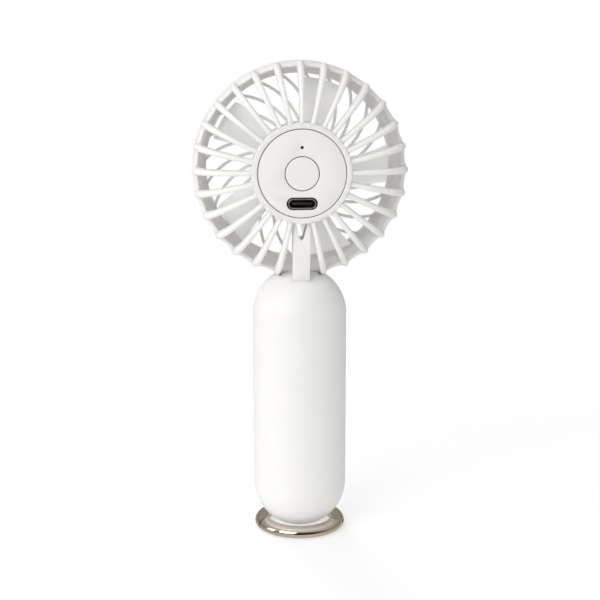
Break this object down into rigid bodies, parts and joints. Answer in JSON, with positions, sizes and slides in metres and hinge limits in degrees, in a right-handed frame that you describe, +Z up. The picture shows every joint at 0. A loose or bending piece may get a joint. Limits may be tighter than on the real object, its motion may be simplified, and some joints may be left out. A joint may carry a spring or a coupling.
{
  "type": "handheld electric fan",
  "caption": "Small rechargeable handheld fan with a round finned head, a capsule handle and a hinged metal ring that serves as stand and strap loop.",
  "frame": {"origin": "centre of the ring stand's underside, under the middle of the handle", "axes": "+Z up along the handle; the air outlet faces -Y and the button and charging port face +Y; +X across the head"},
  "size_m": [0.0708, 0.0312, 0.1582],
  "materials": {
    "white_shell": "satin",
    "white_panel": "satin",
    "white_wheel": "satin",
    "button_white": "satin",
    "light_dark": "gloss",
    "port_steel": "brushed",
    "port_black": "matt",
    "contact_gold": "polished",
    "board_green": "satin",
    "switch_black": "matt",
    "mount_white": "matt",
    "lamination": "brushed",
    "copper_wire": "enamelled",
    "bearing_bronze": "sintered",
    "screw_steel": "zinc",
    "rotor_steel": "brushed",
    "magnet_dark": "matt",
    "shaft_steel": "ground",
    "cell_wrap": "shrink wrap",
    "tab_nickel": "satin",
    "pad_rubber": "matt",
    "lead_red": "satin",
    "lead_black": "satin",
    "lead_yellow": "satin",
    "ring_nickel": "polished",
    "lug_steel": "satin"
  },
  "bodies": {
    "handle": {"rear_grille": "white_shell", "front_grille": "white_shell", "front_cap": "white_shell", "control_panel": "white_panel", "light_pipe": "light_dark", "usb_shell": "port_steel", "usb_tongue": "port_black", "usb_contacts": "contact_gold", "control_board": "board_green", "tact_switch": "switch_black", "motor_mount": "mount_white", "motor_board": "board_green", "stator_core": "lamination", "stator_coils": "copper_wire", "bearing_rear": "bearing_bronze", "bearing_front": "bearing_bronze", "motor_screws": "screw_steel", "handle_rear": "white_shell", "handle_front": "white_shell", "battery_cell": "cell_wrap", "cell_tabs": "tab_nickel", "battery_pad": "pad_rubber", "protection_board": "board_green", "lead_positive": "lead_red", "lead_negative": "lead_black", "motor_leads": "lead_yellow", "ring_lug": "lug_steel", "lug_nut": "screw_steel"},
    "impeller": {"impeller": "white_wheel", "rotor_cup": "rotor_steel", "rotor_magnet": "magnet_dark", "motor_shaft": "shaft_steel"},
    "button": {"power_button": "button_white", "switch_stem": "mount_white"},
    "ring": {"ring_frame": "ring_nickel", "gate_pin": "lug_steel"},
    "gate": {"ring_gate": "ring_nickel"}
  },
  "joints": [
    {"name": "impeller_spin", "type": "hinge", "parent": "handle", "child": "impeller", "pos_m": [0, 0, 0.1228], "axis": [0, 1, 0], "continuous": true},
    {"name": "button_press", "type": "slide", "parent": "handle", "child": "button", "axis": [0, -1, 0], "range_m": [0, 0.0003], "stiffness_N_per_m": 1500, "springref_m": -0.0005},
    {"name": "ring_swing", "type": "hinge", "parent": "handle", "child": "ring", "pos_m": [0, -0.0132, 0.00165], "axis": [-1, 0, 0], "range_deg": [0, 180]},
    {"name": "gate_open", "type": "hinge", "parent": "ring", "child": "gate", "pos_m": [-0.01276, 0.00318, 0.00165], "axis": [0, 0, 1], "range_deg": [0, 40]}
  ]
}
